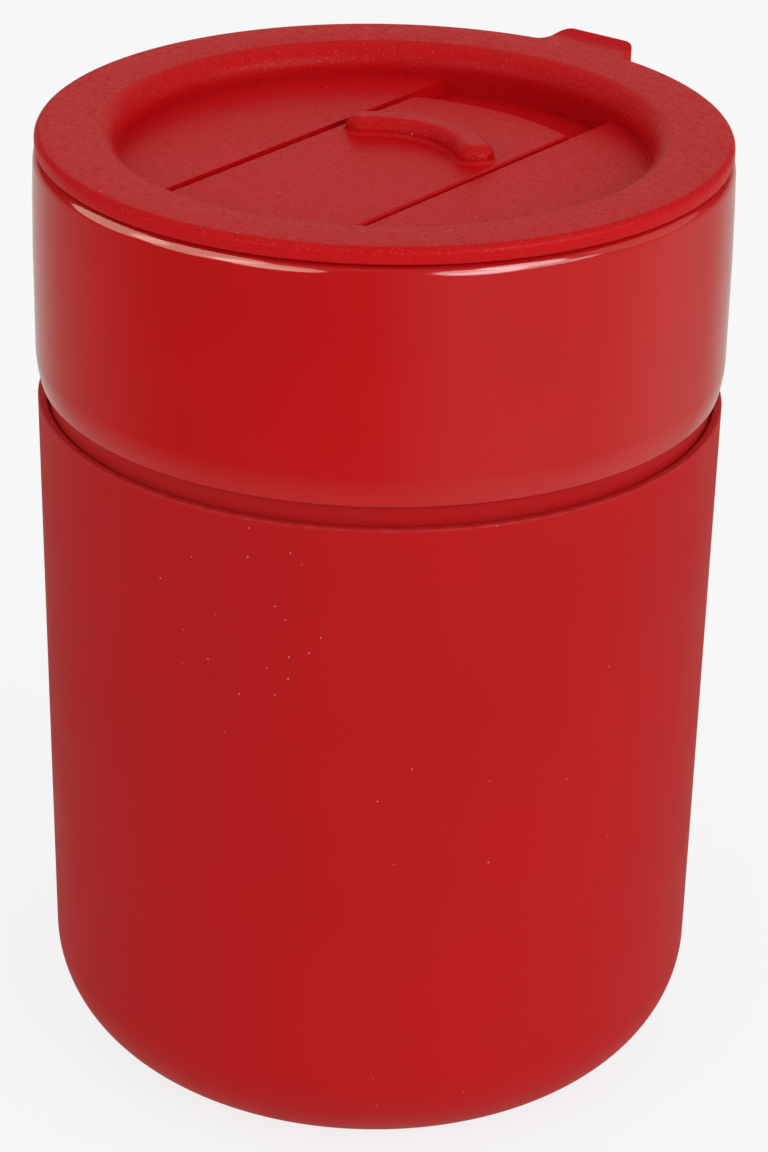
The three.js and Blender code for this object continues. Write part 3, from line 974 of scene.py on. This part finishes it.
class MUG_OT_lid(Operator):
    """Make the lid body with its recess, channel, drink slot and pull tab"""

    bl_idname = "mug.lid"
    bl_label = "Lid body"

    def execute(self, context):
        scene = context.scene
        finishes = scene.mug_finishes
        lid = scene.mug_lid
        material = moulded_plastic("matte_plastic_lid", finishes.lid, finishes.lid_roughness,
                                   finishes.dust_and_highlights, lid)
        body = combine(lid_shell(lid), side_panels(lid), "UNION")
        body = combine(body, pull_tab(lid, scene.mug_tab), "UNION")
        body = combine(body, tongue_grooves(lid), "DIFFERENCE")
        body = combine(body, drink_slot(lid, scene.mug_slot), "DIFFERENCE")
        place_piece(body, "lid", "lid_body", "lid", material)
        return {"FINISHED"}


def seal_profile(seal):
    """Section of the seal ring, with a lip in its lower and its upper third."""
    waist = seal.radius - seal.lip
    third = (seal.top - seal.foot) / 3
    lower = [
        (seal.inner, seal.foot, 0),
        (waist, seal.foot, 0),
        (seal.radius, seal.foot + third / 2, seal.lip_round),
        (seal.radius, seal.foot + third, seal.lip_round),
        (waist, seal.foot + third * LIP_END, 0),
    ]
    upper = [(radius, seal.foot + seal.top - height, rounding)
             for radius, height, rounding in reversed(lower)]
    return lower + upper


class MUG_OT_seal(Operator):
    """Make the two-lipped seal ring of the plug"""

    bl_idname = "mug.seal"
    bl_label = "Seal ring"

    def execute(self, context):
        finishes = context.scene.mug_finishes
        seal = context.scene.mug_seal
        material = silicone("seal_silicone", finishes.seal, finishes.sleeve_roughness,
                            finishes.dust_and_highlights, seal.top)
        place_piece(turn(seal_profile(seal), closed=True), "seal_ring", "lid_seal_ring", "lid",
                    material)
        return {"FINISHED"}


def slider_corner(slider):
    """Distance of the plate's front corners from the middle of its front arc."""
    return math.sqrt(slider.arc ** 2 - (slider.width / 2) ** 2)


def slider_plate(slider):
    """Flat plate whose front follows the recess wall, as its back does when slid open."""
    side = slider.width / 2
    corner = slider_corner(slider)
    swing = 2 * math.asin(side / slider.arc)
    bm = bmesh.new()
    start = bm.verts.new((-side, -corner, 0))
    front = draw_arc(bm, start, (0, 0, 0), swing)
    back = bm.verts.new((side, corner - slider.travel, 0))
    bm.edges.new((front, back))
    last = draw_arc(bm, back, (0, -slider.travel, 0), swing)
    bm.edges.new((last, start))
    top = slider.foot + slider.thickness
    raise_outline(bm, slider.foot, top)
    round_edges(bm, slider.edge_round, lambda edge: level(edge, top) or level(edge, slider.foot))
    return mend(bm)


def slider_tongues(slider):
    """Block across the plate whose ends are the two side tongues."""
    reach = slider.width / 2 + slider.tongue_reach
    corner = slider_corner(slider)
    back = corner - slider.travel - slider.tongue_tail
    return block((-reach, slider.tongue_inset - corner, slider.foot),
                 (reach, back, slider.foot + slider.tongue_thickness))


def thumb_ridge(slider, ridge):
    """Bar across the slider that bows towards the tab, with a rounded upper edge."""
    foot = slider.foot + slider.thickness
    top = foot + ridge.height
    centre = slider.arc - slider.travel - ridge.setback - ridge.width / 2 - ridge.bend
    swing = math.asin(ridge.span / 2 / ridge.bend)
    bm = bmesh.new()
    curved_bar(bm, (0, centre, 0), ridge.bend, ridge.width, (0, 1, 0), swing)
    raise_outline(bm, foot - JOIN, top)
    round_edges(bm, ridge.edge_round, lambda edge: level(edge, top))
    return mend(bm)


class MUG_OT_slider(Operator):
    """Make the slider with its tongues and thumb ridge"""

    bl_idname = "mug.slider"
    bl_label = "Slider"

    def execute(self, context):
        scene = context.scene
        finishes = scene.mug_finishes
        slider = scene.mug_slider
        ridge = scene.mug_ridge
        material = moulded_plastic("matte_plastic_slider", finishes.lid, finishes.lid_roughness,
                                   finishes.dust_and_highlights, scene.mug_lid)
        plate = combine(slider_plate(slider), slider_tongues(slider), "UNION")
        plate = combine(plate, thumb_ridge(slider, ridge), "UNION")
        plate = blend_foot(plate, slider.foot + slider.thickness, ridge.fillet)
        place_piece(plate, "slider", "lid_slider", "slider", material)
        return {"FINISHED"}


# Stage


def direction(azimuth, elevation=0):
    """From the mug towards an azimuth, counted from -Y, and an elevation."""
    flat = math.cos(elevation)
    return Vector((math.sin(azimuth) * flat, -math.cos(azimuth) * flat, math.sin(elevation)))


def set_floor(stage):
    """Round pale floor under the mug."""
    bm = bmesh.new()
    bmesh.ops.create_circle(bm, cap_ends=True, radius=stage.floor_radius, segments=FLOOR_STEPS)
    mesh = store(bm, "floor")
    mesh.materials.append(floor_material(stage))
    floor = bpy.data.objects.new("floor", mesh)
    bpy.context.scene.collection.objects.link(floor)
    floor.visible_glossy = False


def floor_material(stage):
    """Pale floor that the camera sees nearly white, with the mug's soft shadow."""
    material = bpy.data.materials.new("pale_floor")
    nodes = empty_nodes(material)
    plain = nodes.add("ShaderNodeBsdfDiffuse", Color=FLOOR_GREY).outputs["BSDF"]
    white = nodes.add("ShaderNodeEmission", Color=(*stage.background, 1)).outputs["Emission"]
    glow = nodes.math("MAXIMUM", nodes.times(nodes.seen_rays(), SEEN_GLOW), LEAST_GLOW)
    nodes.show("ShaderNodeOutputMaterial", glow, plain, white)
    return material


def facing(nodes, way, marks):
    """How far a ray points a given way: 0 at the first of two marks and 1 at the second."""
    ray = nodes.add("ShaderNodeTexCoord").outputs["Generated"]
    return nodes.span(nodes.vector_math("DOT_PRODUCT", ray, way)["Value"], *marks)


def mirrored_studio(nodes, stage):
    """Brightness of the studio that the glaze mirrors: pale behind and dim in front."""
    behind = -direction(stage.azimuth)
    right = direction(stage.azimuth + stage.mirrored_turn)
    wide = nodes.times(facing(nodes, behind, WIDE_BACKDROP), stage.mirrored_back)
    middle = nodes.times(facing(nodes, behind, MIDDLE_BACKDROP), stage.mirrored_edge)
    low = nodes.times(nodes.total(wide, middle), facing(nodes, -UP, BELOW_HORIZON))
    high = nodes.times(facing(nodes, behind, HIGH_BACKDROP), facing(nodes, UP, ABOVE_HORIZON))
    high = nodes.times(high, stage.mirrored_high)
    side = nodes.times(facing(nodes, right, BRIGHT_SIDE), stage.mirrored_side)
    table = nodes.times(facing(nodes, -UP, NEAR_TABLE), stage.mirrored_table)
    ceiling = nodes.times(facing(nodes, UP, CEILING), stage.mirrored_ceiling)
    return nodes.total(low, high, side, stage.mirrored_front, table, ceiling)


def set_world(stage):
    """Even light on the mug, a white backdrop for the camera and a studio for the glaze."""
    world = bpy.data.worlds.new("studio")
    nodes = empty_nodes(world)
    camera_ray = nodes.add("ShaderNodeLightPath").outputs["Is Camera Ray"]
    backdrop = shade(stage.background, BACKDROP_SHADE)
    seen = nodes.add("ShaderNodeBackground",
                     Color=nodes.mix(camera_ray, stage.mirrored_tint, backdrop),
                     Strength=nodes.math("MAXIMUM", mirrored_studio(nodes, stage), camera_ray))
    lit = nodes.add("ShaderNodeBackground", Color=(1, 1, 1, 1), Strength=stage.ambient)
    nodes.show("ShaderNodeOutputWorld", nodes.seen_rays(), lit.outputs["Background"],
               seen.outputs["Background"])
    bpy.context.scene.world = world


def soft_box(name, turn_by, elevation, size, power, colour, stage):
    """An area light round the mug, counted from the camera's azimuth, that points at the mug."""
    lamp = bpy.data.lights.new(name, "AREA")
    lamp.shape = "ELLIPSE"
    lamp.size, lamp.size_y = size
    lamp.energy = power
    lamp.color = colour
    light = bpy.data.objects.new(name, lamp)
    back = direction(stage.azimuth + math.radians(turn_by), math.radians(elevation))
    light.location = back * LAMP_DISTANCE + UP * stage.target
    light.rotation_euler = back.to_track_quat("Z", "Y").to_euler()
    bpy.context.scene.collection.objects.link(light)
    return light


def set_lights(stage):
    """Two lamps that light the mug, and cards that only the glaze of the cup shows."""
    for name, lamp in LAMPS.items():
        soft_box(name, *lamp, stage)
    glazed = bpy.data.collections.new("glazed")
    glazed.objects.link(bpy.data.objects["cup"])
    for name, lamp in CARDS.items():
        card = soft_box(name, *lamp, stage)
        card.visible_diffuse = False
        card.light_linking.receiver_collection = glazed


def set_camera(stage):
    """Camera at the photograph's viewing angle."""
    camera = bpy.data.cameras.new("camera")
    camera.lens = stage.lens
    camera.sensor_width = SENSOR_WIDTH
    camera.clip_start = NEAREST
    camera.clip_end = FARTHEST
    back = direction(stage.azimuth, stage.elevation)
    right = Vector((math.cos(stage.azimuth), math.sin(stage.azimuth), 0))
    rise = back.cross(right)
    rolled_right = right * math.cos(stage.roll) + rise * math.sin(stage.roll)
    rolled_up = rise * math.cos(stage.roll) - right * math.sin(stage.roll)
    target = UP * stage.target
    place = target + back * stage.distance
    aim = target + rolled_right * stage.aim_right + rolled_up * stage.aim_up
    behind = (place - aim).normalized()
    across = rolled_up.cross(behind).normalized()
    axes = Matrix((across, behind.cross(across), behind)).transposed()
    seen = bpy.data.objects.new("camera", camera)
    seen.matrix_world = Matrix.Translation(place) @ axes.to_4x4()
    bpy.context.scene.collection.objects.link(seen)
    bpy.context.scene.camera = seen


class MUG_OT_stage(Operator):
    """Set up the floor, the light and the camera"""

    bl_idname = "mug.stage"
    bl_label = "Stage"

    def execute(self, context):
        stage = context.scene.mug_stage
        set_floor(stage)
        set_world(stage)
        set_lights(stage)
        set_camera(stage)
        context.scene.view_settings.view_transform = "Standard"
        return {"FINISHED"}


OPERATORS = (MUG_OT_sleeve, MUG_OT_cup, MUG_OT_lid, MUG_OT_seal, MUG_OT_slider, MUG_OT_stage)


class MUG_PT_panel(Panel):
    """Lists the steps that build the mug"""

    bl_idname = "MUG_PT_panel"
    bl_label = "Lidded mug"
    bl_space_type = "VIEW_3D"
    bl_region_type = "UI"
    bl_category = "Mug"

    def draw(self, context):
        for step in OPERATORS:
            self.layout.operator(step.bl_idname)


GROUPS = {
    "mug_sleeve": MugSleeveSizes,
    "mug_cup": MugCupSizes,
    "mug_lid": MugLidSizes,
    "mug_slot": MugDrinkSlotSizes,
    "mug_tab": MugTabSizes,
    "mug_seal": MugSealSizes,
    "mug_slider": MugSliderSizes,
    "mug_ridge": MugRidgeSizes,
    "mug_finishes": MugFinishes,
    "mug_stage": MugStage,
}
CLASSES = (*GROUPS.values(), *OPERATORS, MUG_PT_panel)


def register():
    for item in CLASSES:
        bpy.utils.register_class(item)
    for name, group in GROUPS.items():
        setattr(bpy.types.Scene, name, PointerProperty(type=group))


def unregister():
    for name in GROUPS:
        delattr(bpy.types.Scene, name)
    for item in reversed(CLASSES):
        bpy.utils.unregister_class(item)


def main():
    register()
    bpy.ops.mug.sleeve()
    bpy.ops.mug.cup()
    bpy.ops.mug.lid()
    bpy.ops.mug.seal()
    bpy.ops.mug.slider()
    bpy.ops.mug.stage()


if __name__ == "__main__":
    main()
